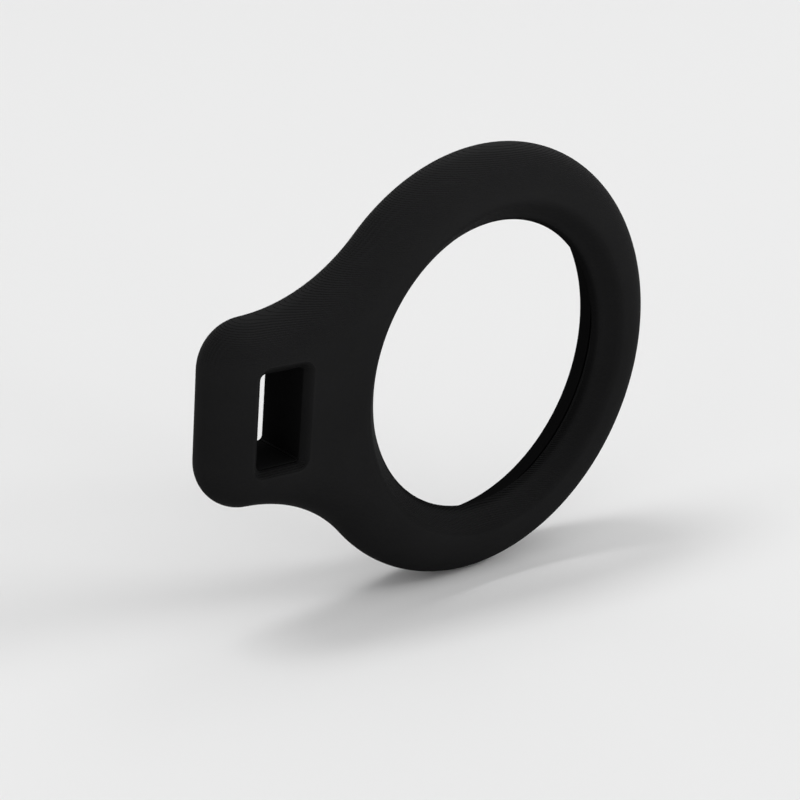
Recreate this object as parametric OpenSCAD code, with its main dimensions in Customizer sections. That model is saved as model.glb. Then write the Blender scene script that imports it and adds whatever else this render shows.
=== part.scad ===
// Holder for a round tracker tag: a round frame with a strap tab.
// It stands on its rim. The tag's axis is Y: the front face looks along -Y and the tag
// goes in from +Y. The tab points along -X, and the origin is the centre of the frame,
// halfway through its thickness.

/* [Tag] */
// Diameter of the round tag
tag_d = 31.9; // [30:0.1:34]
// Play around the tag in its pocket, on the radius
tag_clearance = 0.1; // [0.05:0.05:0.3]

/* [Frame] */
// Thickness of the frame and its tab
body_t = 6.7; // [6:0.1:8]
// Width of the frame outside the tag
frame_wall = 4.85; // [4.4:0.05:7]
// How far in the rounded rim reaches, seen from the front
rim_depth = 4.25; // [3:0.05:4.3]

/* [Front opening] */
// Diameter of the opening at the lip that stops the tag
front_d = 27.6; // [24:0.1:28]
// Thickness of the lip, from the front face to the shelf that the tag rests on
lip_t = 2.3; // [1.8:0.1:3]
// Width of the steep bevel at the lip's edge
bevel_w = 0.5; // [0.2:0.1:0.8]
// Height of the steep bevel at the lip's edge
bevel_h = 0.7; // [0.4:0.1:1]
// Angle of the funnel to the tag's axis
funnel_angle = 45; // [35:1:46]
// Rounding between the funnel and the front face
crest_r = 1.4; // [0.4:0.1:1.5]

/* [Tab] */
// How far the tab reaches past the frame
tab_len = 10.7; // [10:0.1:14]
// Height of the tab
tab_h = 16.8; // [15:0.1:20]
// Radius of the tab's outer corners
tab_corner_r = 4.4; // [4.35:0.05:6]
// Radius of the hollow curve between the frame and the tab
neck_r = 17.6; // [12:0.1:24]

/* [Strap slot] */
// Width of the slot, along the tab
slot_w = 4.5; // [4.2:0.1:5]
// Height of the slot
slot_h = 8.4; // [6:0.1:9]
// Width of the bar between the slot and the tab's end
end_bar_w = 4; // [3.6:0.1:4.6]
// Radius of the slot's corners
slot_corner_r = 0.5; // [0.3:0.1:1.5]
// Chamfer round the slot's mouths
slot_chamfer = 0.7; // [0.3:0.1:0.9]

/* [Retaining ring] */
// Width of the ring, from its bore to its outside
ring_wall = 1.3; // [1:0.1:1.5]
// Length of the ring along the tag's axis
ring_len = 1.6; // [1.2:0.1:1.8]
// How far the ring sits below the back face
ring_recess = 0.8; // [0:0.1:1]
// How much smaller the ring's bore is than the tag, on the radius
ring_grip = 0.05; // [0:0.01:0.1]
// Push-fit play between the ring and its step, on the radius
ring_clearance = 0.03; // [0.02:0.01:0.1]
// Rounding of the bore where the tag goes in
ring_edge_r = 0.3; // [0.1:0.1:0.8]

/* [Hidden] */
$fn = 96;

// Steps in a quarter of the rounded rim, in each small rounding, and in the outline's arcs
rim_steps = 7;
edge_steps = 6;
quarter_steps = 24;
shoulder_steps = 12;
neck_steps = 8;
corner_steps = 5;
// How far a cut runs past the face that it opens
past = 1;

face = body_t / 2;
frame_r = tag_d / 2 + frame_wall;
front_r = front_d / 2;
pocket_r = tag_d / 2 + tag_clearance;
shelf = face - lip_t;

bevel_r = front_r + bevel_w;
funnel_r = bevel_r + (lip_t - bevel_h) * tan(funnel_angle);
crest_cut = crest_r * tan((90 - funnel_angle) / 2);

ring_bore_r = tag_d / 2 - ring_grip;
ring_r = ring_bore_r + ring_wall;
ring_seat_r = ring_r + ring_clearance;
ring_back = -face + ring_recess;
ring_seat = ring_back + ring_len;

tab_end = frame_r + tab_len;
slot_x = -tab_end + end_bar_w + slot_w / 2;

// The outline is a chain of arcs that touch: frame, neck, corner, and the tab's straight end
corner = [-tab_end + tab_corner_r, tab_h / 2 - tab_corner_r];
corner_reach = norm(corner);
corner_dir = corner / corner_reach;
to_neck = frame_r + neck_r;
to_corner = tab_corner_r + neck_r;
neck_along = (pow(to_neck, 2) - pow(to_corner, 2) + pow(corner_reach, 2)) / (2 * corner_reach);
neck_across = sqrt(pow(to_neck, 2) - pow(neck_along, 2));
neck = corner_dir * neck_along + [corner_dir[1], -corner_dir[0]] * neck_across;
frame_angle = atan2(neck[1], neck[0]);
neck_angle = atan2(corner[1] - neck[1], corner[0] - neck[0]);

// The rim's section: how far each point lies inside the outline, and its height
rim = [for (i = [-rim_steps : rim_steps])
    let (t = 90 * i / rim_steps)
    [rim_depth * (1 - cos(t)), face * sin(t)]];

// Points on an arc about a centre
function arc(centre, r, from, to, steps = edge_steps, skip = 0) =
    [for (i = [skip : steps])
        let (t = from + (to - from) * i / steps)
        centre + r * [cos(t), sin(t)]];

// Upper half of the outline, moved in by the inset: frame, with a point at its top, neck, corner
function upper_outline(inset) = concat(
    arc([0, 0], frame_r - inset, 0, 90, quarter_steps),
    arc([0, 0], frame_r - inset, 90, frame_angle, shoulder_steps, 1),
    arc(neck, neck_r + inset, frame_angle - 180, neck_angle, neck_steps, 1),
    arc(corner, tab_corner_r - inset, neck_angle + 180, 180, corner_steps, 1)
);

// The whole outline, closed by the mirror image of its upper half
function outline(inset) =
    let (upper = upper_outline(inset))
    concat(upper, [for (i = [len(upper) - 1 : -1 : 1]) [upper[i][0], -upper[i][1]]]);

// Stands the part up: its front face, up until here, turns towards -Y
module stand() {
    rotate([90, 0, 0]) children();
}

// Frame, neck and tab as one solid with a round rim, before anything is cut out
module skin() {
    count = len(outline(0));
    top = len(rim) * count;
    points = concat(
        [for (level = rim, p = outline(level[0])) [p[0], p[1], level[1]]],
        [[0, 0, face], [0, 0, -face]]
    );
    sides = [for (level = [0 : len(rim) - 2], i = [0 : count - 1])
        let (next = (i + 1) % count, low = level * count, high = low + count)
        [high + i, high + next, low + next, low + i]];
    front = [for (i = [0 : count - 1])
        [top, top - count + (i + 1) % count, top - count + i]];
    back = [for (i = [0 : count - 1])
        [top + 1, i, (i + 1) % count]];
    polyhedron(points = points, faces = concat(sides, front, back));
}

// Funnel, pocket and the ring's step, turned about the tag's axis
module tag_cut() {
    rotate_extrude()
        polygon(concat(
            [
                [0, face + past],
                [0, -face - past],
                [ring_seat_r, -face - past],
                [ring_seat_r, ring_seat],
                [pocket_r, ring_seat],
                [pocket_r, shelf],
                [front_r, shelf],
                [bevel_r, shelf + bevel_h]
            ],
            arc([funnel_r + crest_cut, face - crest_r], crest_r, 180 - funnel_angle, 90),
            [[funnel_r + crest_cut, face + past]]
        ));
}

// Section of the slot's chamfered mouth, with the slot's wall at the given distance
function mouth_profile(wall) = [
    [wall - slot_corner_r, face - slot_chamfer],
    [wall, face - slot_chamfer],
    [wall + slot_chamfer + past, face + past],
    [wall - slot_corner_r, face + past]
];

// One straight side of the mouth, along X, that widens towards +Y
module mouth_side(length) {
    rotate([90, 0, 90])
        linear_extrude(height = length, center = true)
            polygon(mouth_profile(0));
}

// Chamfer all round the slot's mouth in the front face
module slot_mouth() {
    half_w = slot_w / 2;
    half_h = slot_h / 2;
    for (turn = [0, 180])
        rotate([0, 0, turn]) {
            translate([0, half_h, 0])
                mouth_side(slot_w - 2 * slot_corner_r);
            translate([-half_w, 0, 0])
                rotate([0, 0, 90])
                    mouth_side(slot_h - 2 * slot_corner_r);
            for (side = [1, -1])
                translate([side * (half_w - slot_corner_r), half_h - slot_corner_r, 0])
                    rotate([0, 0, side > 0 ? 0 : 90])
                        rotate_extrude(angle = 90)
                            polygon(mouth_profile(slot_corner_r));
        }
}

module slot_cut() {
    translate([slot_x, 0, 0]) {
        translate([0, 0, -face - past])
            linear_extrude(height = body_t + 2 * past) {
                square([slot_w - 2 * slot_corner_r, slot_h], center = true);
                square([slot_w, slot_h - 2 * slot_corner_r], center = true);
                for (x = [-1, 1], y = [-1, 1])
                    translate([x * (slot_w / 2 - slot_corner_r), y * (slot_h / 2 - slot_corner_r)])
                        circle(r = slot_corner_r);
            }
        slot_mouth();
        mirror([0, 0, 1]) slot_mouth();
    }
}

module holder_body() {
    color("#1c1c1c")
        stand()
            difference() {
                skin();
                tag_cut();
                slot_cut();
            }
}

// Thin ring behind the pocket that grips the tag's edge
module retaining_ring() {
    color("#181818")
        stand()
            rotate_extrude()
                polygon(concat(
                    [
                        [ring_bore_r, ring_seat],
                        [ring_r, ring_seat],
                        [ring_r, ring_back]
                    ],
                    arc([ring_bore_r + ring_edge_r, ring_back + ring_edge_r], ring_edge_r, 270, 180)
                ));
}

holder_body();
retaining_ring();
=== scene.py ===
# %% [markdown]
# # A printed holder for a round tracker tag
# The part is small and simple: a round frame with a funnelled opening, a tab with a slot for a
# strap, and a thin ring behind that grips the tag. All of it is matte black printed plastic.
# So the lesson is about clean surfaces. Nearly everything the eye gets from a black part comes
# from how its roundings catch the light, and from the fine steps of the print.
#
# The imported CAD model is the frame that the looks are built around. It is loaded first. The
# finished piece has to stay inside it.

# %% Load the CAD frame
import bmesh
import bpy
import numpy as np
from mathutils import Matrix


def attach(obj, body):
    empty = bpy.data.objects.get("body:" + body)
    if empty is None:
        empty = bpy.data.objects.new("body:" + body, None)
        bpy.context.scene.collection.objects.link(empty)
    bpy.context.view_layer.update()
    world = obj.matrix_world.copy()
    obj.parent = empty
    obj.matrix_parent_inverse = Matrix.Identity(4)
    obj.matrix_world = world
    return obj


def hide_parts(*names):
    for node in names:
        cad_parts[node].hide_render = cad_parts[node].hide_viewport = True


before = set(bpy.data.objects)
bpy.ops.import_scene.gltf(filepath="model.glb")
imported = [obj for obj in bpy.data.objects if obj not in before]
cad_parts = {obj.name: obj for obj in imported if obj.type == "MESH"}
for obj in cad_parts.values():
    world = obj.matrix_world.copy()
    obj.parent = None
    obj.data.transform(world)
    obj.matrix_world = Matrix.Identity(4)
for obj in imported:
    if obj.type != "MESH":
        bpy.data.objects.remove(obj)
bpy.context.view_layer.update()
print("CAD nodes:", ", ".join(sorted(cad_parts)))

# %% [markdown]
# ## Sizes
# The holder stands on its rim. X runs from the tab to the frame, Z is up, and the tag's axis is
# Y. Sections are easier to think of with a depth that is positive towards the front face, so
# depth is minus Y all through this file. Sizes are in millimetres until a mesh is written.

# %% Sizes of the holder
MM = 0.001
HALF_T = 3.35
FRAME_R = 20.8
RIM_IN = 4.25
TAB_END = 31.5
TAB_HALF_H = 8.4
CORNER_R = 4.4
NECK_R = 17.6

LIP_R = 13.8
BEVEL_R = 14.3
BEVEL_DEPTH = 1.75
SHELF_DEPTH = 1.05
CREST_R = 1.4
CREST_TOP_R = 16.48
POCKET_R = 16.05
STEP_R = 17.23
STEP_DEPTH = -0.95

SLOT_X = -25.25
SLOT_HALF_W = 2.25
SLOT_HALF_H = 4.2
SLOT_CORNER_R = 0.5
MOUTH = 0.7
LAYER = 0.16

RING_BORE_R = 15.9
RING_R = 17.2
RING_BACK = -2.55
RING_EDGE_R = 0.3

FLOOR_Z = -FRAME_R
print("holder:", TAB_END + FRAME_R, "x", 2 * HALF_T, "x", 2 * FRAME_R, "mm")

# %% [markdown]
# ## The outline
# Seen from the front, the real part is a chain of arcs that touch: the frame's circle, a hollow
# neck, the tab's rounded corner and its straight end. Two circles touch where the line between
# their centres crosses them, so the neck's centre lies one sum of radii from the frame's centre
# and another from the corner's. That is a triangle with three known sides.
#
# Every point of the outline also gets the direction that leads into the part. A line moved in
# by any inset is then the point plus the inset times that direction, with no offset tool.

# %% Centres of the arcs
corner = np.array([-TAB_END + CORNER_R, TAB_HALF_H - CORNER_R])
reach = np.hypot(*corner)
along = ((FRAME_R + NECK_R) ** 2 - (CORNER_R + NECK_R) ** 2 + reach ** 2) / (2 * reach)
across = np.sqrt((FRAME_R + NECK_R) ** 2 - along ** 2)
unit = corner / reach
neck = unit * along + np.array([unit[1], -unit[0]]) * across
frame_angle = np.arctan2(neck[1], neck[0])
neck_end = np.arctan2(corner[1] - neck[1], corner[0] - neck[0])
neck_start = frame_angle - np.pi
print("neck centre:", neck.round(2), "frame arc ends at", round(np.degrees(frame_angle), 1), "degrees")


# %% The outline's upper half, with its inward directions
def arc(centre, radius, start, end, steps):
    """Points on a circle from one angle to another, and their directions from its centre."""
    angle = np.linspace(start, end, steps + 1)
    away = np.stack([np.cos(angle), np.sin(angle)], axis=1)
    return centre + radius * away, away


FRAME_STEPS = 156
NECK_RING_STEPS = 24
NECK_TAB_STEPS = 18
CORNER_STEPS = 20
END_STEPS = 12
split_angle = neck_start + 0.60 * (neck_end - neck_start)

frame_arc, frame_away = arc(np.zeros(2), FRAME_R, 0, frame_angle, FRAME_STEPS)
neck_a, neck_a_away = arc(neck, NECK_R, neck_start, split_angle, NECK_RING_STEPS)
neck_b, neck_b_away = arc(neck, NECK_R, split_angle, neck_end, NECK_TAB_STEPS)
corner_arc, corner_away = arc(corner, CORNER_R, neck_end + np.pi, np.pi, CORNER_STEPS)
end_z = np.linspace(corner[1], 0, END_STEPS + 1)
end_line = np.stack([np.full_like(end_z, -TAB_END), end_z], axis=1)
end_in = np.tile([1.0, 0.0], (END_STEPS + 1, 1))

half_edge = np.concatenate([frame_arc, neck_a[1:], neck_b[1:], corner_arc[1:], end_line[1:]])
half_in = np.concatenate([-frame_away, neck_a_away[1:], neck_b_away[1:], -corner_away[1:], end_in[1:]])
SPLIT = FRAME_STEPS + NECK_RING_STEPS
print("points on the upper half of the outline:", len(half_edge))

# %% [markdown]
# ## How deep the faces lie
# The rim is fully rounded: its section is half an ellipse, 4.25 mm deep and 3.35 mm high on
# each side. So the height of a face depends only on how far a point lies inside the outline.
# One function gives that distance and another turns it into the height. Both patches of each
# face use them, and that is why the patches meet without a gap.


# %% Distance from the outline, and height of the face
def inset_of(x, z):
    """Distance in from the outline.

    It is the smallest of the distances to the frame's circle, the neck's arc, the corner's arc
    and the tab's end. Each counts only in its own sector, where it is the nearest."""
    z = np.abs(z)
    far = np.full(np.shape(x), 99.0)
    from_frame = np.where(np.arctan2(z, x) <= frame_angle + 1e-9, FRAME_R - np.hypot(x, z), far)
    turn = np.arctan2(z - neck[1], x - neck[0])
    in_neck = (turn <= neck_start + 1e-9) & (turn >= neck_end - 1e-9)
    from_neck = np.where(in_neck, np.hypot(x - neck[0], z - neck[1]) - NECK_R, far)
    turn = np.arctan2(z - corner[1], x - corner[0])
    in_corner = turn >= neck_end + np.pi - 1e-9
    from_corner = np.where(in_corner, CORNER_R - np.hypot(x - corner[0], z - corner[1]), far)
    from_end = np.where(z <= corner[1] + 1e-9, x + TAB_END, far)
    return np.minimum(np.minimum(from_frame, from_neck), np.minimum(from_corner, from_end))


def face_height(x, z):
    """Height of the face over the middle plane: a quarter ellipse near the edge, then flat.

    Height is half the thickness times the root of 1 less the square of what is left of the
    rim's reach."""
    left = 1 - np.clip(inset_of(x, z) / RIM_IN, 0, 1)
    return HALF_T * np.sqrt(1 - left ** 2)


print("height at the tab's middle:", face_height(np.array([SLOT_X]), np.array([0.0]))[0])

# %% [markdown]
# ## From grids to one closed skin
# Each surface is a grid of points: rows across, columns round. A grid whose last column joins
# its first makes a band. The frame, the tab and the rim are three such bands, and they share
# their border points exactly, so merging doubles turns them into one closed skin.


# %% Helpers that turn a band of points into a mesh
def mirrored(upper):
    """A closed loop from its upper half: the half, then its mirror image without both ends."""
    lower = upper[..., -2:0:-1, :] * np.array([1.0, -1.0])
    return np.concatenate([upper, lower], axis=-2)


def band_faces(rows, columns, first):
    """Quads of a band: each joins a point to the next in its row and to the row below."""
    index = first + np.arange(rows * columns).reshape(rows, columns)
    right = np.roll(index, -1, axis=1)
    quads = np.stack([index[:-1], right[:-1], right[1:], index[1:]], axis=-1)
    return quads.reshape(-1, 4)


def mesh_of_bands(name, bands, crease):
    """One closed mesh from bands of (x, depth, z) points in millimetres.

    Doubles on the shared borders are merged, the faces are turned outwards, and only edges
    that fold by more than the crease angle stay sharp."""
    points = []
    faces = []
    first = 0
    for band in bands:
        rows, columns = band.shape[:2]
        faces.append(band_faces(rows, columns, first))
        points.append(band.reshape(-1, 3))
        first += rows * columns
    points = np.concatenate(points) * np.array([MM, -MM, MM])
    mesh = bpy.data.meshes.new(name)
    mesh.from_pydata(points, [], np.concatenate(faces))
    work = bmesh.new()
    work.from_mesh(mesh)
    bmesh.ops.remove_doubles(work, verts=work.verts, dist=1e-6)
    bmesh.ops.recalc_face_normals(work, faces=work.faces)
    open_edges = sum(1 for edge in work.edges if len(edge.link_faces) != 2)
    volume = work.calc_volume(signed=True) / MM ** 3
    work.to_mesh(mesh)
    work.free()
    mesh.shade_smooth()
    mesh.set_sharp_from_angle(angle=np.radians(crease))
    piece = bpy.data.objects.new(name, mesh)
    bpy.context.scene.collection.objects.link(piece)
    print(f"{name}: {len(mesh.polygons)} faces, {open_edges} open edges, {volume:.0f} mm3")
    return piece


def band(plan, depth):
    """Puts plan points (x, z) and their depths together as (x, depth, z)."""
    depth = np.broadcast_to(depth, plan.shape[:-1])
    return np.stack([plan[..., 0], depth, plan[..., 1]], axis=-1)


# %% [markdown]
# ## The rim
# On the real part the rim is what a thumb runs round, and what draws the line of light along
# the silhouette. It could be a bevelled extrusion, but a bevel is a circle, and this section is
# a flat ellipse. So the ellipse is carried along the outline: the section angle gives the inset
# and the depth, and the inward direction places the point.
#
# The band stops a little short of the flat. The slot's mouth and the ring's step both reach
# past the place where the ellipse ends, and each of them has its own grid.

# %% The rim as an ellipse carried round the outline
RIM_STEPS = 25
BORDER_IN = 2.6
border_angle = np.arccos(1 - BORDER_IN / RIM_IN)
section = np.linspace(border_angle, -border_angle, 2 * RIM_STEPS + 1)
inset = RIM_IN * (1 - np.cos(section))
edge_loop = mirrored(half_edge)
in_loop = mirrored(half_in)
rim_plan = edge_loop[None] + inset[:, None, None] * in_loop[None]
rim_band = band(rim_plan, (HALF_T * np.sin(section))[:, None])
print("rim grid:", rim_band.shape[:2])

# %% [markdown]
# ## The border between frame and tab
# A face with two openings can't be one tidy grid. So it is split along a curve between them.
# The curve leaves the neck along its inward direction and crosses the middle square on. A
# cubic with these four conditions is a Hermite curve: two ends and two end directions.

# %% The dividing curve
half_border = half_edge + BORDER_IN * half_in
CROSS_X = -19.4
DIVIDE_STEPS = 30
s = np.linspace(0, 1, DIVIDE_STEPS + 1)[:, None]
start = half_border[SPLIT]
finish = np.array([CROSS_X, 0.0])
pull = 1.1 * np.hypot(*(finish - start))
divide = (
    (2 * s ** 3 - 3 * s ** 2 + 1) * start
    + (s ** 3 - 2 * s ** 2 + s) * pull * half_in[SPLIT]
    + (3 * s ** 2 - 2 * s ** 3) * finish
    + (s ** 3 - s ** 2) * pull * np.array([0.0, -1.0])
)
print("dividing curve from", start.round(2), "to", finish)

# %% [markdown]
# ## Rounded corners in a section
# No printed or moulded corner is a knife edge, and the small rounding there is what catches
# light. This helper takes a section as a list of corners with a radius each and puts an arc in
# every corner. The arc touches both sides at the radius times the tangent of half the turn.


# %% A section with small radii
def rounded(corners, radii, steps=4):
    """Arcs in all corners of an open section, its two ends kept sharp.

    Each arc is a blend of its two touching points and the corner by the weights of a
    rational quadratic curve, whose middle weight is the cosine of half the turn: a true arc."""
    corners = np.asarray(corners, float)
    radii = np.asarray(radii, float)[1:-1, None]
    before = corners[:-2] - corners[1:-1]
    after = corners[2:] - corners[1:-1]
    before /= np.linalg.norm(before, axis=1, keepdims=True)
    after /= np.linalg.norm(after, axis=1, keepdims=True)
    half_turn = (np.pi - np.arccos(np.sum(before * after, axis=1, keepdims=True))) / 2
    touch = radii * np.tan(half_turn)
    t = np.linspace(0, 1, steps + 1)[None, :, None]
    weight = np.cos(half_turn)[:, None]
    a = (1 - t) ** 2
    b = 2 * t * (1 - t) * weight
    c = t ** 2
    middle = corners[1:-1][:, None]
    points = a * (middle + (touch * before)[:, None]) + b * middle + c * (middle + (touch * after)[:, None])
    points = points / (a + b + c)
    return np.concatenate([corners[:1], points.reshape(-1, 2), corners[-1:]])


def filled(section, longest):
    """The section with points added along its straight runs, so that no step is too long."""
    length = np.linalg.norm(np.diff(section, axis=0), axis=1)
    walked = np.concatenate([[0], np.cumsum(length)])
    pieces = np.maximum(1, np.ceil(length / longest)).astype(int)
    share = np.concatenate([np.arange(n) / n for n in pieces])
    base = np.repeat(walked[:-1], pieces) + share * np.repeat(length, pieces)
    base = np.append(base, walked[-1])
    return np.stack([np.interp(base, walked, section[:, i]) for i in (0, 1)], axis=1)


# %% [markdown]
# ## Funnel, lip, pocket and step
# From the front the tag's opening is a soft funnel that ends in a steep bevel. Behind the lip
# the bore widens to the pocket, and then to the step that takes the ring. All of it is turned
# about the tag's axis, so one section of radius and depth is enough.
#
# The front and the back of this band aren't round: they run out to the rim and to the dividing
# curve. Their rows go straight from the circle to that border, and the height function lifts
# each point onto the face.

# %% Section of the bore
crest_turn = np.linspace(np.pi / 2, 3 * np.pi / 4, 11)
crest = np.stack([
    CREST_TOP_R + CREST_R * np.cos(crest_turn),
    HALF_T - CREST_R + CREST_R * np.sin(crest_turn),
], axis=1)
lower = rounded(
    [
        crest[-1],
        [BEVEL_R, BEVEL_DEPTH],
        [LIP_R, SHELF_DEPTH],
        [POCKET_R, SHELF_DEPTH],
        [POCKET_R, STEP_DEPTH],
        [STEP_R, STEP_DEPTH],
        [STEP_R, -HALF_T + 0.6],
    ],
    [0, 0.25, 0.1, 0.08, 0.1, 0.08, 0],
)
bore_section = np.concatenate([crest[:-1], filled(lower, 0.45)])
print("points in the bore's section:", len(bore_section))

# %% The frame's band, from the front border through the bore to the back border
EDGE_R = 0.15
GAP_ROWS = 9
ring_border = np.concatenate([half_border[: SPLIT + 1], divide[1:]])
walk = np.linalg.norm(np.diff(ring_border[FRAME_STEPS:], axis=0), axis=1)
walk = np.concatenate([[0], np.cumsum(walk)])
turn = np.linspace(0, frame_angle, FRAME_STEPS + 1)
turn = np.concatenate([turn, frame_angle + (np.pi - frame_angle) * walk[1:] / walk[-1]])
spokes = mirrored(np.stack([np.cos(turn), np.sin(turn)], axis=1))
ring_loop = mirrored(ring_border)


def plan_between(outer, inner, rows):
    """Rows of points in equal steps along straight lines from one loop to another."""
    share = np.linspace(0, 1, rows + 1)[:, None, None]
    return outer * (1 - share) + inner * share


front_plan = plan_between(ring_loop, CREST_TOP_R * spokes, GAP_ROWS)
front_rows = band(front_plan, face_height(front_plan[..., 0], front_plan[..., 1]))
bore_plan = bore_section[1:, 0][:, None, None] * spokes[None]
bore_rows = band(bore_plan, bore_section[1:, 1][:, None])

roll_turn = np.linspace(0, np.pi / 2, 6)
roll_plan = (STEP_R + EDGE_R * (1 - np.cos(roll_turn)))[:, None, None] * spokes[None]
roll_depth = EDGE_R * (1 - np.sin(roll_turn))[:, None]
roll_rows = band(roll_plan, roll_depth - face_height(roll_plan[..., 0], roll_plan[..., 1]))
back_plan = plan_between(ring_loop, (STEP_R + EDGE_R) * spokes, GAP_ROWS)[::-1][1:]
back_rows = band(back_plan, -face_height(back_plan[..., 0], back_plan[..., 1]))
frame_band = np.concatenate([front_rows, bore_rows, roll_rows, back_rows])
print("frame grid:", frame_band.shape[:2])

# %% [markdown]
# ## The tab and its slot
# The strap slot runs right through the tab, and both its mouths are chamfered so that the
# strap doesn't fray. The tab's grid follows the slot's wall: right side, corner, top, corner,
# left side. Each stretch of the wall faces one stretch of the border, with as many columns in
# both, so the grid doesn't twist at the corners.
#
# At the bottom of the slot the chamfer faces up, and there the print's layers show as four real
# steps down to a thin dark slit, where the layer under the wall is set back. They are too large
# for a bump, so they are modelled: the mouth has two profiles with as many points, one smooth
# and one stepped, and each column blends them by how far its wall faces up.

# %% The slot's wall, with its outward directions
slot = np.array([SLOT_X, 0.0])
CORNER_SHARE = 10
straight_z = SLOT_HALF_H - SLOT_CORNER_R
straight_x = SLOT_HALF_W - SLOT_CORNER_R
rise = np.linspace(0, straight_z, DIVIDE_STEPS - CORNER_SHARE + 1)
right_side = slot + np.stack([np.full_like(rise, SLOT_HALF_W), rise], axis=1)
right_out = np.tile([1.0, 0.0], (len(rise), 1))
corner_a, corner_a_out = arc(slot + [straight_x, straight_z], SLOT_CORNER_R, 0, np.pi / 2, CORNER_SHARE)
run = np.linspace(straight_x, -straight_x, NECK_TAB_STEPS + 1)
top_side = slot + np.stack([run, np.full_like(run, SLOT_HALF_H)], axis=1)
top_out = np.tile([0.0, 1.0], (len(run), 1))
corner_b, corner_b_out = arc(slot + [-straight_x, straight_z], SLOT_CORNER_R, np.pi / 2, np.pi, CORNER_STEPS)
fall = np.linspace(straight_z, 0, END_STEPS + 1)
left_side = slot + np.stack([np.full_like(fall, -SLOT_HALF_W), fall], axis=1)
left_out = np.tile([-1.0, 0.0], (len(fall), 1))
half_wall = np.concatenate([right_side, corner_a[1:], top_side[1:], corner_b[1:], left_side[1:]])
half_out = np.concatenate([right_out, corner_a_out[1:], top_out[1:], corner_b_out[1:], left_out[1:]])
wall_loop = mirrored(half_wall)
out_loop = mirrored(half_out)
tab_loop = mirrored(np.concatenate([divide[::-1], half_border[SPLIT + 1:]]))
print("points round the slot:", len(wall_loop), "and round its border:", len(tab_loop))

# %% Two profiles of the slot's mouth: distance from the wall, and depth below the face
smooth_mouth = rounded([[MOUTH + 0.15, 0], [MOUTH, 0], [0, MOUTH], [0, MOUTH + 0.15]], [0, 0.1, 0.1, 0], 5)
smooth_mouth = np.insert(smooth_mouth, 7, [MOUTH / 2, MOUTH / 2], axis=0)
treads = MOUTH - LAYER * np.array([0, 0, 1, 1, 2, 2, 3, 3])
risers = LAYER * np.array([0, 0.5, 0.5, 1.5, 1.5, 2.5, 2.5, 3.5])
SLIT_FLOOR = 0.15
SLIT_TOP = 0.03
SLIT_BACK = MOUTH + 0.12
stepped_mouth = np.concatenate([
    [[MOUTH + 0.15, 0]],
    np.stack([treads, risers], axis=1),
    [
        [SLIT_FLOOR, 3.5 * LAYER],
        [SLIT_FLOOR, SLIT_BACK],
        [SLIT_TOP, SLIT_BACK],
        [SLIT_TOP, MOUTH - 0.04],
        [0, MOUTH - 0.04],
        [0, MOUTH + 0.15],
    ],
])
print("points in the mouth's profiles:", len(smooth_mouth), len(stepped_mouth))

# %% The tab's band, from the front border through the slot to the back border
WALL_STEPS = 8
faces_up = np.clip(-out_loop[:, 1], 0, 1) ** 2
stepped_share = faces_up[None, :, None]
mouth = smooth_mouth[:, None] * (1 - stepped_share) + stepped_mouth[:, None] * stepped_share
mouth_plan = wall_loop[None] + mouth[..., :1] * out_loop[None]
at_face = np.clip(mouth[..., 0] / MOUTH, 0, 1)
mouth_top = at_face * face_height(mouth_plan[..., 0], mouth_plan[..., 1]) + (1 - at_face) * HALF_T
mouth_depth = mouth_top - mouth[..., 1]
gap_plan = plan_between(tab_loop, mouth_plan[0], GAP_ROWS)[:-1]
gap_depth = face_height(gap_plan[..., 0], gap_plan[..., 1])
half_plan = np.concatenate([gap_plan, mouth_plan])
half_depth = np.concatenate([gap_depth, mouth_depth])
share = np.linspace(1, -1, WALL_STEPS + 1)[1:-1, None]
wall_plan = np.broadcast_to(wall_loop, (WALL_STEPS - 1, *wall_loop.shape))
tab_plan = np.concatenate([half_plan, wall_plan, half_plan[::-1]])
tab_depth = np.concatenate([half_depth, share * half_depth[-1], -half_depth[::-1]])
tab_band = band(tab_plan, tab_depth)
print("tab grid:", tab_band.shape[:2])

# %% The holder's skin
holder = mesh_of_bands("holder_shell", [rim_band, frame_band, tab_band], 32)
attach(holder, "holder")
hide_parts("holder_body")

# %% [markdown]
# ## The retaining ring
# The photograph doesn't show the back, so this piece is a guess at how the tag is held: a thin
# ring with a plain section, behind the pocket. It is turned in the same way as the
# bore, but its section is closed, so the band closes on itself both ways, like a tyre. The edge
# where the tag goes in has the largest radius.

# %% The ring as a closed turned section
ring_corners = [
    [RING_BORE_R, (STEP_DEPTH + RING_BACK) / 2],
    [RING_BORE_R, RING_BACK],
    [RING_R, RING_BACK],
    [RING_R, STEP_DEPTH],
    [RING_BORE_R, STEP_DEPTH],
    [RING_BORE_R, (STEP_DEPTH + RING_BACK) / 2],
]
ring_section = filled(rounded(ring_corners, [0, RING_EDGE_R, 0.12, 0.12, 0.06, 0], 6), 0.3)
ring_turn = np.linspace(0, 2 * np.pi, 361)[:-1]
ring_spokes = np.stack([np.cos(ring_turn), np.sin(ring_turn)], axis=1)
ring_plan = ring_section[:, 0][:, None, None] * ring_spokes[None]
ring = mesh_of_bands("grip_ring", [band(ring_plan, ring_section[:, 1][:, None])], 32)
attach(ring, "ring")
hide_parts("retaining_ring")


# %% [markdown]
# ## Where edges stick out
# Handling polishes the ridges of a matte print first. A material can't see a ridge by itself,
# so each vertex gets a number for it: how much its normal fans away from its neighbours'
# normals, which is the bend of the surface there.


# %% The bend of the surface as an attribute
TIGHTEST_BEND = 2.5


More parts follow.
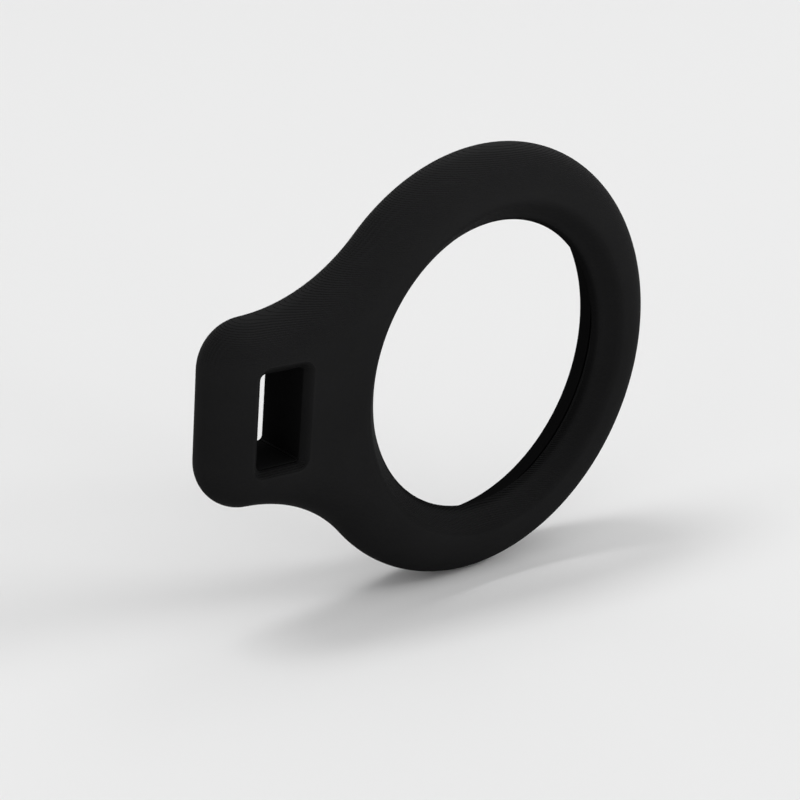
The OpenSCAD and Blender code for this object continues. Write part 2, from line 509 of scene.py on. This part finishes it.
def mark_ridges(piece):
    """Stores the mean bend at each vertex, from 0 on flats and hollows to 1 on tight ridges.

    Along an edge the bend is the difference of the two normals times the edge, over the
    edge's length squared: 1 over the radius of the curve that passes through both."""
    mesh = piece.data
    count = len(mesh.vertices)
    spots = np.empty(count * 3)
    mesh.vertices.foreach_get("co", spots)
    spots = spots.reshape(-1, 3)
    normals = np.empty(count * 3)
    mesh.vertices.foreach_get("normal", normals)
    normals = normals.reshape(-1, 3)
    ends = np.empty(len(mesh.edges) * 2, int)
    mesh.edges.foreach_get("vertices", ends)
    ends = ends.reshape(-1, 2)
    along_edge = spots[ends[:, 1]] - spots[ends[:, 0]]
    fan = normals[ends[:, 1]] - normals[ends[:, 0]]
    bend = np.sum(fan * along_edge, axis=1) / np.maximum(np.sum(along_edge ** 2, axis=1), 1e-12)
    total = np.bincount(ends.ravel(), np.repeat(bend, 2), count)
    mean = total / np.maximum(np.bincount(ends.ravel(), minlength=count), 1)
    ridge = np.clip(mean * MM / TIGHTEST_BEND, 0, 1)
    attribute = mesh.attributes.new("ridge", "FLOAT", "POINT")
    attribute.data.foreach_set("value", ridge.astype(np.float32))
    print(piece.name, "ridge mean", round(float(ridge.mean()), 3), "highest", round(float(ridge.max()), 2))


mark_ridges(holder)
mark_ridges(ring)

# %% [markdown]
# ## Painted shade in the openings
# The walls of the bore and of the slot lie in shade, and that shade is painted into their
# colour: the material darkens the black there. So each vertex also gets a number for it: how
# far it lies below the outer face, from 0 on the faces to 1 in the openings.


# %% Painted shade of the openings as an attribute
SLOT_FULL_SHADE = 0.9
BORE_SHADE_START = 1.5
BORE_SHADE_RUN = 0.4
POCKET_SHADE = 0.1


def mark_recess_shade(piece):
    """Stores 0 on outer faces and 1 well inside the bore and the slot.

    In the slot it is the depth below the nearer face, as a share of the depth at which the
    painted shade is full. In the bore only the depth below the front face counts, from the
    funnel's foot on. The pocket's wall gets a tenth of the full painted shade, so it stays lighter.
    The material darkens the colour by this number: it is painted shade."""
    mesh = piece.data
    spots = np.empty(len(mesh.vertices) * 3)
    mesh.vertices.foreach_get("co", spots)
    x, y, z = spots.reshape(-1, 3).T / MM
    radius = np.hypot(x, z)
    top = face_height(x, z)
    in_slot = np.clip((top - np.abs(y)) / SLOT_FULL_SHADE, 0, 1) * (inset_of(x, z) > BORDER_IN)
    in_bore = np.clip((top + y - BORE_SHADE_START) / BORE_SHADE_RUN, 0, 1)
    in_bore = in_bore * (radius < STEP_R + 0.05)
    in_pocket = (radius > LIP_R + 1) & (radius < POCKET_R + 0.05) & (-y > STEP_DEPTH + 0.02)
    # Painted shade: none on the outer faces, full in the openings, a tenth on the pocket's wall.
    recess_shade = np.where(x < CROSS_X, in_slot, np.where(in_pocket, POCKET_SHADE, in_bore))
    attribute = mesh.attributes.new("recess_shade", "FLOAT", "POINT")
    attribute.data.foreach_set("value", recess_shade.astype(np.float32))
    print(piece.name, "shelter mean", round(float(recess_shade.mean()), 3))


mark_recess_shade(holder)
# The whole ring lies in the bore, so its colour gets the full painted shade, its back too.
mark_recess_shade(ring)

# %% [markdown]
# ## The print's layers
# The holder is printed standing up, in level layers 0.16 mm thick. A sloping surface then
# becomes a stair: each layer has an upright edge, and what shows of the layer below is a level
# tread. On an upright wall the treads vanish, and on a level top they are all there is.
#
# Real stairs would take millions of faces, so a bump does it. The stair's distance from the
# smooth surface climbs over the share of a step that the upright edge covers, and falls back
# over the rest. That share is 1 less the square of the normal's part along the build
# direction, and the whole climb is that part times the layer's thickness. The group takes the
# coordinate and that part of the normal, so the ring can use it too, turned another way.
#
# Treads that face up catch the light from above, and show as thin pale lines. So the group puts
# out a mask of them as well, and the colour paints a highlight on them.


# %% A node group for stair-stepped layers
def socket(group, name, way, kind, value=None):
    """Adds one named input or output to a node group."""
    made = group.interface.new_socket(name=name, in_out=way, socket_type=kind)
    if value is not None:
        made.default_value = value
    return made


def node(tree, kind, place, **settings):
    """Adds a node at a place in columns and rows, and sets what is given."""
    made = tree.nodes.new(kind)
    made.location = (place[0] * 190, -place[1] * 170)
    for name, value in settings.items():
        setattr(made, name, value)
    return made


def math_node(tree, what, place, *inputs):
    """A Math node. Each input is a number or another node's output. Returns its output."""
    made = node(tree, "ShaderNodeMath", place, operation=what)
    for i, given in enumerate(inputs):
        if isinstance(given, (int, float)):
            made.inputs[i].default_value = given
        else:
            tree.links.new(given, made.inputs[i])
    return made.outputs[0]


def layers_group():
    """Coordinate and Slope in. Height in metres, and groove shade and tread highlight from 0 to 1 out.

    The tread highlight marks the part of each step that lies level, times how far the surface
    faces up, and the colour paints a highlight there. It fades to 0 on level faces, which are one
    tread all over and show no lines. The groove shade is high in the inner corner of each step,
    and the colour paints shade there."""
    group = bpy.data.node_groups.new("Print layers", "ShaderNodeTree")
    socket(group, "Coordinate", "INPUT", "NodeSocketFloat")
    socket(group, "Slope", "INPUT", "NodeSocketFloat")
    socket(group, "Pitch", "INPUT", "NodeSocketFloat", 0.00016)
    socket(group, "Depth", "INPUT", "NodeSocketFloat", 1.0)
    socket(group, "Height", "OUTPUT", "NodeSocketFloat")
    socket(group, "Groove shade", "OUTPUT", "NodeSocketFloat")
    socket(group, "Tread highlight", "OUTPUT", "NodeSocketFloat")
    given = node(group, "NodeGroupInput", (0, 0))
    out = node(group, "NodeGroupOutput", (8, 0))
    coordinate, slope, pitch, depth = given.outputs[:4]
    level = math_node(group, "DIVIDE", (1, 0), coordinate, pitch)
    phase = math_node(group, "FRACT", (2, 0), level)
    square = math_node(group, "MULTIPLY", (1, 1), slope, slope)
    share = math_node(group, "SUBTRACT", (2, 1), 1.0, square)
    share = math_node(group, "MAXIMUM", (3, 1), share, 0.12)
    share = math_node(group, "MINIMUM", (4, 1), share, 0.88)
    climb = math_node(group, "DIVIDE", (5, 0), phase, share)
    rest = math_node(group, "SUBTRACT", (5, 2), 1.0, share)
    left = math_node(group, "SUBTRACT", (3, 0), 1.0, phase)
    back = math_node(group, "DIVIDE", (6, 1), left, rest)
    stair = math_node(group, "MINIMUM", (6, 0), climb, back)
    size = math_node(group, "MULTIPLY", (2, 3), slope, pitch)
    size = math_node(group, "MULTIPLY", (3, 3), size, depth)
    high = math_node(group, "MULTIPLY", (7, 0), stair, size)
    # Groove shade: high in the inner corner of each step, where the colour paints shade.
    away_from_edge = math_node(group, "SUBTRACT", (7, 2), 1.0, stair)
    groove_shade = math_node(group, "MULTIPLY", (8, 2), away_from_edge, square)
    group.links.new(high, out.inputs["Height"])
    group.links.new(groove_shade, out.inputs["Groove shade"])
    # Painted highlight: level treads on surfaces that face up are marked, for the colour to lighten.
    on_tread = math_node(group, "GREATER_THAN", (6, 4), phase, share)
    upward = math_node(group, "MAXIMUM", (6, 5), slope, 0.0)
    steps_left = math_node(group, "MULTIPLY_ADD", (6, 6), square, -2.0, 2.0)
    tread_highlight = math_node(group, "MULTIPLY", (7, 4), on_tread, upward)
    tread_highlight = math_node(group, "MULTIPLY", (7, 5), tread_highlight, steps_left)
    group.links.new(tread_highlight, out.inputs["Tread highlight"])
    return group


layers = layers_group()
print("layer group inputs:", [s.name for s in layers.interface.items_tree])

# %% [markdown]
# ## The plastic's own variation, and painted light
# A matte black print isn't one black. It is a little cloudy, with a fine grain, and it turns
# smoother and a touch lighter on its ridges. Light and shade are painted into the colour as
# well: a painted highlight on the treads that face up, painted light that grows towards the top,
# and painted shade in the layers' grooves and in the openings. A second group works these out
# once for both plastics: it mixes two blacks by cloud and grain, lightens the ridges, paints
# light on the treads and the upper half, darkens the grooves, paints shade into the openings
# except on the treads, and gives the roughness and a grain height.


# %% A node group for the black plastic
# Painted light: how much lighter the black turns per metre above the middle.
TOP_LIGHT_PER_METRE = 17.0


def plastic_group():
    """Two blacks, a ridge mask and a position in, Colour, Roughness and Grain out."""
    group = bpy.data.node_groups.new("Matte plastic", "ShaderNodeTree")
    socket(group, "Position", "INPUT", "NodeSocketVector")
    socket(group, "Ridge", "INPUT", "NodeSocketFloat")
    socket(group, "Groove shade", "INPUT", "NodeSocketFloat")
    socket(group, "Tread highlight", "INPUT", "NodeSocketFloat")
    socket(group, "Recess shade", "INPUT", "NodeSocketFloat")
    socket(group, "Recess shade depth", "INPUT", "NodeSocketFloat", 0.5)
    socket(group, "Black", "INPUT", "NodeSocketColor", (0.009, 0.009, 0.0095, 1))
    socket(group, "Black for wear and light", "INPUT", "NodeSocketColor", (0.02, 0.02, 0.021, 1))
    socket(group, "Dullness", "INPUT", "NodeSocketFloat", 0.55)
    socket(group, "Colour", "OUTPUT", "NodeSocketColor")
    socket(group, "Roughness", "OUTPUT", "NodeSocketFloat")
    socket(group, "Grain", "OUTPUT", "NodeSocketFloat")
    given = node(group, "NodeGroupInput", (0, 0))
    out = node(group, "NodeGroupOutput", (8, 0))
    cloud = node(group, "ShaderNodeTexNoise", (1, 1))
    cloud.inputs["Scale"].default_value = 220
    cloud.inputs["Detail"].default_value = 3
    grain = node(group, "ShaderNodeTexNoise", (1, 2))
    grain.inputs["Scale"].default_value = 5200
    grain.inputs["Detail"].default_value = 2
    group.links.new(given.outputs["Position"], cloud.inputs["Vector"])
    group.links.new(given.outputs["Position"], grain.inputs["Vector"])
    cloudy = math_node(group, "MULTIPLY_ADD", (2, 1), cloud.outputs[0], 0.22, -0.11)
    fine = math_node(group, "MULTIPLY_ADD", (2, 2), grain.outputs[0], 0.2, -0.1)
    both = math_node(group, "ADD", (3, 1), cloudy, fine)
    wear_and_light = math_node(group, "MULTIPLY", (3, 0), given.outputs["Ridge"], cloud.outputs[0])
    wear_and_light = math_node(group, "MULTIPLY", (4, 2), wear_and_light, 0.3)
    # Painted highlight on the treads that face up.
    wear_and_light = math_node(group, "MULTIPLY_ADD", (4, 3), given.outputs["Tread highlight"], 0.28, wear_and_light)
    share = math_node(group, "ADD", (4, 0), both, wear_and_light)
    # Painted shade in the layers' grooves.
    share = math_node(group, "MULTIPLY_ADD", (5, 0), given.outputs["Groove shade"], -0.12, share)
    share = math_node(group, "ADD", (6, 0), share, 0.2)
    # Painted light: the black turns lighter towards the top, above the middle.
    height = node(group, "ShaderNodeSeparateXYZ", (1, 4))
    group.links.new(given.outputs["Position"], height.inputs[0])
    above_middle = math_node(group, "MAXIMUM", (2, 4), height.outputs["Z"], 0.0)
    share = math_node(group, "MULTIPLY_ADD", (6, 1), above_middle, TOP_LIGHT_PER_METRE, share)
    mix = node(group, "ShaderNodeMix", (7, 0), data_type="RGBA")
    # Painted shade: the recess mask scales the colour down in the openings, except on the treads that carry
    # the painted highlight.
    off_tread = math_node(group, "SUBTRACT", (4, 4), 1.0, given.outputs["Tread highlight"])
    recess_darkening = math_node(group, "MULTIPLY", (5, 3), given.outputs["Recess shade"], given.outputs["Recess shade depth"])
    recess_darkening = math_node(group, "MULTIPLY", (6, 3), recess_darkening, off_tread)
    shade_scale = math_node(group, "SUBTRACT", (7, 3), 1.0, recess_darkening)
    colour = node(group, "ShaderNodeVectorMath", (8, 1), operation="SCALE")
    group.links.new(share, mix.inputs["Factor"])
    group.links.new(given.outputs["Black"], mix.inputs["A"])
    group.links.new(given.outputs["Black for wear and light"], mix.inputs["B"])
    dull = math_node(group, "MULTIPLY_ADD", (5, 2), both, 0.5, given.outputs["Dullness"])
    dull = math_node(group, "MULTIPLY_ADD", (6, 2), given.outputs["Ridge"], -0.1, dull)
    dull = math_node(group, "MULTIPLY_ADD", (7, 2), given.outputs["Recess shade"], 0.3, dull)
    group.links.new(mix.outputs["Result"], colour.inputs[0])
    group.links.new(shade_scale, colour.inputs["Scale"])
    group.links.new(colour.outputs[0], out.inputs["Colour"])
    group.links.new(dull, out.inputs["Roughness"])
    group.links.new(grain.outputs[0], out.inputs["Grain"])
    return group


plastic = plastic_group()
print("plastic group outputs:", [s.name for s in plastic.interface.items_tree if s.in_out == "OUTPUT"])

# %% [markdown]
# ## Two black plastics
# The holder is printed standing, so its layers stack along Z. The ring is printed lying flat,
# so its layers stack along the tag's axis, Y, and it is a little smoother and deeper in colour.
# Handling wears the steps down on the outer faces, so they are deeper in sheltered places.
# Everything else is shared, so one function makes both materials. The plain gloss is almost
# off, because the print scatters it. It is a constant on the shader's own socket, since an
# export drops a specular level that reaches the shader through a link.


# %% The materials
PLAIN_GLOSS = 0.004


def black_plastic(name, build_axis, black, wear_and_light, dullness, layer_depth):
    """A matte black print whose layers are stacked along the build axis: 'Y' or 'Z'."""
    material = bpy.data.materials.new(name)
    material.use_nodes = True
    tree = material.node_tree
    tree.nodes.clear()
    where = node(tree, "ShaderNodeTexCoord", (0, 0))
    place = node(tree, "ShaderNodeSeparateXYZ", (1, 0))
    facing = node(tree, "ShaderNodeSeparateXYZ", (1, 1))
    ridge = node(tree, "ShaderNodeAttribute", (1, 2), attribute_name="ridge")
    recess_shade = node(tree, "ShaderNodeAttribute", (1, 3), attribute_name="recess_shade")
    steps = node(tree, "ShaderNodeGroup", (2, 0), node_tree=layers)
    look = node(tree, "ShaderNodeGroup", (3, 1), node_tree=plastic)
    bump = node(tree, "ShaderNodeBump", (5, 2))
    fine = node(tree, "ShaderNodeBump", (4, 3))
    shader = node(tree, "ShaderNodeBsdfPrincipled", (6, 0))
    out = node(tree, "ShaderNodeOutputMaterial", (8, 0))
    tree.links.new(where.outputs["Object"], place.inputs[0])
    tree.links.new(where.outputs["Normal"], facing.inputs[0])
    tree.links.new(place.outputs[build_axis], steps.inputs["Coordinate"])
    tree.links.new(facing.outputs[build_axis], steps.inputs["Slope"])
    depth = math_node(tree, "MULTIPLY_ADD", (1, 4), recess_shade.outputs["Fac"], 0.5, layer_depth)
    tree.links.new(depth, steps.inputs["Depth"])
    tree.links.new(where.outputs["Object"], look.inputs["Position"])
    tree.links.new(ridge.outputs["Fac"], look.inputs["Ridge"])
    tree.links.new(steps.outputs["Groove shade"], look.inputs["Groove shade"])
    tree.links.new(steps.outputs["Tread highlight"], look.inputs["Tread highlight"])
    tree.links.new(recess_shade.outputs["Fac"], look.inputs["Recess shade"])
    # The second black serves both the ridges' wear and the painted light: tread highlights and the lighter
    # top.
    look.inputs["Black"].default_value = black
    look.inputs["Black for wear and light"].default_value = wear_and_light
    look.inputs["Dullness"].default_value = dullness
    fine.inputs["Distance"].default_value = 0.000004
    bump.inputs["Distance"].default_value = 1.0
    tree.links.new(look.outputs["Grain"], fine.inputs["Height"])
    tree.links.new(fine.outputs[0], bump.inputs["Normal"])
    tree.links.new(steps.outputs["Height"], bump.inputs["Height"])
    tree.links.new(look.outputs["Colour"], shader.inputs["Base Color"])
    tree.links.new(look.outputs["Roughness"], shader.inputs["Roughness"])
    tree.links.new(bump.outputs[0], shader.inputs["Normal"])
    shader.inputs["Specular IOR Level"].default_value = PLAIN_GLOSS
    tree.links.new(shader.outputs[0], out.inputs["Surface"])
    return material


holder.data.materials.append(black_plastic(
    "printed_black", "Z", (0.0088, 0.0088, 0.0090, 1), (0.0202, 0.0202, 0.0206, 1), 0.55, 0.7))
ring.data.materials.append(black_plastic(
    "ring_black", "Y", (0.007, 0.007, 0.0072, 1), (0.015, 0.015, 0.0154, 1), 0.48, 0.6))
print("materials:", [m.name for m in bpy.data.materials if m.users])

# %% [markdown]
# ## The room
# The photograph was taken on a plain pale sweep with no horizon. A floor that is large next to
# the part gives that: at this low angle the camera sees nothing but floor. Its colour sets the
# background, and the lamps only light it to the level at which the colour comes out as written.
#
# Far out the floor lies close to the lamps and would turn white. No lamp is moved for that:
# past 0.6 m from the part, the floor turns into an even grey for the camera and for reflections,
# and the world behind it has the same grey. The part's own light doesn't change.

# %% The floor
BACKDROP = (0.83, 0.83, 0.83, 1)
FADE_START = 0.6
FADE_END = 1.1


def seen_rays(tree):
    """1 for rays from the camera or from a reflection or refraction, else 0."""
    rays = node(tree, "ShaderNodeLightPath", (-5, 0))
    seen = math_node(tree, "MAXIMUM", (-4, 0), rays.outputs["Is Camera Ray"], rays.outputs["Is Glossy Ray"])
    return math_node(tree, "MAXIMUM", (-3, 0), seen, rays.outputs["Is Transmission Ray"])


FLOOR_HALF = 4.0
floor_mesh = bpy.data.meshes.new("floor")
floor_corners = np.array([[-1, -1, 0], [1, -1, 0], [1, 1, 0], [-1, 1, 0]]) * FLOOR_HALF
floor_mesh.from_pydata(floor_corners + np.array([0, 0, FLOOR_Z * MM]), [], [(0, 1, 2, 3)])
floor = bpy.data.objects.new("floor", floor_mesh)
bpy.context.scene.collection.objects.link(floor)
sweep = bpy.data.materials.new("pale_sweep")
sweep.use_nodes = True
sweep_shader = sweep.node_tree.nodes["Principled BSDF"]
sweep_shader.inputs["Base Color"].default_value = BACKDROP
sweep_shader.inputs["Roughness"].default_value = 0.9
sweep_shader.inputs["Specular IOR Level"].default_value = 0.1
spot = node(sweep.node_tree, "ShaderNodeTexCoord", (-5, 2))
away = node(sweep.node_tree, "ShaderNodeVectorMath", (-4, 2), operation="LENGTH")
fade = node(sweep.node_tree, "ShaderNodeMapRange", (-3, 2), interpolation_type="SMOOTHSTEP")
fade.inputs["From Min"].default_value = FADE_START
fade.inputs["From Max"].default_value = FADE_END
far_grey = node(sweep.node_tree, "ShaderNodeEmission", (-1, 3))
far_grey.inputs["Color"].default_value = BACKDROP
blend = node(sweep.node_tree, "ShaderNodeMixShader", (0, 1))
sweep.node_tree.links.new(spot.outputs["Object"], away.inputs[0])
sweep.node_tree.links.new(away.outputs["Value"], fade.inputs["Value"])
far_seen = math_node(sweep.node_tree, "MULTIPLY", (-2, 1), fade.outputs["Result"], seen_rays(sweep.node_tree))
sweep.node_tree.links.new(far_seen, blend.inputs[0])
sweep.node_tree.links.new(sweep_shader.outputs[0], blend.inputs[1])
sweep.node_tree.links.new(far_grey.outputs[0], blend.inputs[2])
sweep.node_tree.links.new(blend.outputs[0], sweep.node_tree.nodes["Material Output"].inputs["Surface"])
floor_mesh.materials.append(sweep)
print("floor at z =", FLOOR_Z, "mm")

# %% [markdown]
# ## The lamps
# Two soft shadows lie on the floor. The darker one runs to the right, away from a long narrow
# key lamp high up behind the tab, and fades where a lower and weaker lamp behind the key takes
# over. The other runs to the left, away from a side lamp low on the right. A shadow that is
# longer than the part is high comes from a low lamp, and a narrow lamp gives a crisp one.
#
# One wide lamp in front gives most of the light. It has no shadow of its own to speak of, but it
# makes the flat front lighter than the walls of the openings. Weak lamps low in front, on both
# sides and behind lift the rounded rim where it turns away.
#
# A lamp's power falls off with the square of its distance, so the power is worked out from the
# share of the floor's light that the lamp should give. The world fills the rest evenly. Where
# the camera looks past the floor's edge, it sees a grey as pale as the floor instead.


# %% Soft lamps from the light that each gives the floor
LAMP_DISTANCE = 3.0


def soft_lamp(name, tilt, azimuth, half_width, half_height, spin, share):
    """A rectangular lamp that faces the part and lights the floor there by the given share.

    Tilt is the angle from straight up, azimuth goes round from +X towards +Y, and the halves
    are the angles that the lamp fills, all in degrees. Light on the floor is power over pi
    times the distance squared, times the cosine of the tilt. A white floor shows it divided
    by pi."""
    tilt, azimuth, spin = np.radians([tilt, azimuth, spin])
    towards = np.array([np.sin(tilt) * np.cos(azimuth), np.sin(tilt) * np.sin(azimuth), np.cos(tilt)])
    level = np.array([-np.sin(azimuth), np.cos(azimuth), 0.0])
    side = np.cos(spin) * level + np.sin(spin) * np.cross(towards, level)
    data = bpy.data.lights.new(name, "AREA")
    data.shape = "RECTANGLE"
    data.size = 2 * LAMP_DISTANCE * np.tan(np.radians(half_width))
    data.size_y = 2 * LAMP_DISTANCE * np.tan(np.radians(half_height))
    data.energy = share * np.pi ** 2 * LAMP_DISTANCE ** 2 / towards[2]
    lamp = bpy.data.objects.new(name, data)
    axes = np.eye(4)
    axes[:3, 0] = side
    axes[:3, 1] = np.cross(towards, side)
    axes[:3, 2] = towards
    axes[:3, 3] = towards * LAMP_DISTANCE
    lamp.matrix_world = Matrix(axes.tolist())
    bpy.context.scene.collection.objects.link(lamp)
    print(name, "power", round(data.energy, 3), "W")
    return lamp


soft_lamp("key", 24.2, 147.5, 4.6, 15.0, 30.3, 0.215)
soft_lamp("key_low", 48.0, 170.0, 5.0, 16.0, 0.0, 0.045)
soft_lamp("left_low", 76.0, 195.0, 14.0, 7.0, 0.0, 0.024)
soft_lamp("right_top", 35.0, 20.0, 14.0, 12.0, 0.0, 0.045)
soft_lamp("side", 61.0, -26.2, 19.7, 4.9, -23.7, 0.163)
soft_lamp("front", 19.3, -101.2, 39.1, 41.8, 0.6, 0.535)
soft_lamp("back_right", 66.9, 49.1, 4.1, 41.7, 92.9, 0.060)
soft_lamp("front_low", 81.1, -79.6, 20.1, 2.8, -10.8, 0.040)
WORLD_FILL = 0.2
world = bpy.data.worlds.new("studio")
bpy.context.scene.world = world
world.use_nodes = True
room = world.node_tree
fill = room.nodes["Background"]
fill.inputs["Color"].default_value = (1, 1, 1, 1)
fill.inputs["Strength"].default_value = WORLD_FILL
seen = node(room, "ShaderNodeBackground", (0, 2))
seen.inputs["Color"].default_value = BACKDROP
choose = node(room, "ShaderNodeMixShader", (1, 0))
room.links.new(seen_rays(room), choose.inputs[0])
room.links.new(fill.outputs[0], choose.inputs[1])
room.links.new(seen.outputs[0], choose.inputs[2])
room.links.new(choose.outputs[0], room.nodes["World Output"].inputs["Surface"])
print("world fill", WORLD_FILL)

# %% [markdown]
# ## The camera
# The view was found by fitting the outline and both openings to the picture: a long lens, 42
# degrees round to the left and 20 degrees up, tilted a little clockwise. The camera's own axes
# are written straight into its matrix: right, up, and back, away from what it looks at.

# %% The camera
AZIMUTH, ELEVATION, ROLL = np.radians([-42.196, 20.038, 4.577])
DISTANCE = 159.99
TARGET = np.array([-9.552, 0.0, -2.079])
back = np.array([
    np.sin(AZIMUTH) * np.cos(ELEVATION),
    -np.cos(AZIMUTH) * np.cos(ELEVATION),
    np.sin(ELEVATION),
])
level = np.array([np.cos(AZIMUTH), np.sin(AZIMUTH), 0.0])
upright = np.cross(back, level)
axes = np.eye(4)
axes[:3, 0] = level * np.cos(ROLL) + upright * np.sin(ROLL)
axes[:3, 1] = upright * np.cos(ROLL) - level * np.sin(ROLL)
axes[:3, 2] = back
axes[:3, 3] = (TARGET + DISTANCE * back) * MM
camera_data = bpy.data.cameras.new("camera")
camera_data.sensor_width = 36
camera_data.lens = 79.64
camera_data.clip_start = 0.005
camera_data.clip_end = 20
camera = bpy.data.objects.new("camera", camera_data)
camera.matrix_world = Matrix(axes.tolist())
bpy.context.scene.collection.objects.link(camera)
bpy.context.scene.camera = camera
bpy.context.scene.view_settings.view_transform = "Standard"
print("camera at", (axes[:3, 3] / MM).round(1), "mm")
